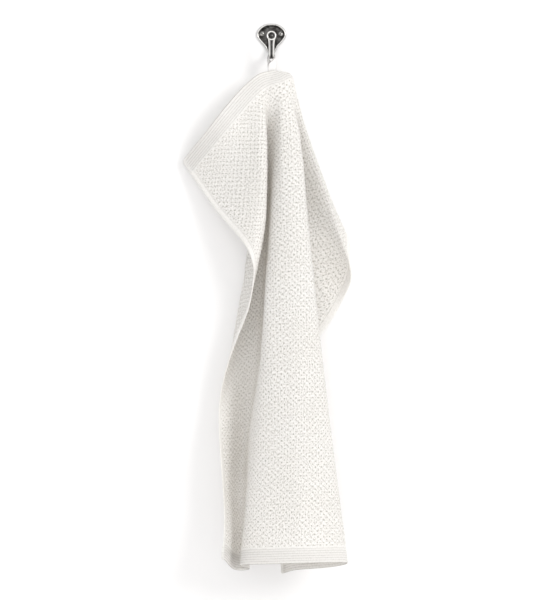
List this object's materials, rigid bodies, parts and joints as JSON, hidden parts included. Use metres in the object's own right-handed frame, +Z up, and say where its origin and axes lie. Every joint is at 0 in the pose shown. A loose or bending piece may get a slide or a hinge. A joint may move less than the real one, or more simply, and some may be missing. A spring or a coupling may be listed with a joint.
{
  "type": "hand towel on a wall hook",
  "caption": "Textured cotton hand towel hanging in loose folds by its tape loop from a metal wall hook, its top corner flared out to one side.",
  "frame": {"origin": "centre of the hook plate's flat back face, which lies on the wall", "axes": "+X to the right as the towel is looked at, +Y into the wall, +Z up"},
  "size_m": [0.242, 0.1228, 0.7811],
  "materials": {
    "cotton_cloth": "off-white cotton in a small raised cell weave, ribbed end hems, matt",
    "cotton_tape": "white woven cotton tape, matt",
    "dark_nickel": "dark nickel plating, glossy, brighter on the raised rim",
    "polished_nickel": "polished nickel plating",
    "screw_steel": "plated steel, semi-gloss"
  },
  "bodies": {
    "root": {"towel": "cotton_cloth", "hanging_loop": "cotton_tape", "hook_plate": "dark_nickel", "hook_arm": "polished_nickel", "screw_left": "screw_steel", "screw_right": "screw_steel"}
  },
  "joints": []
}
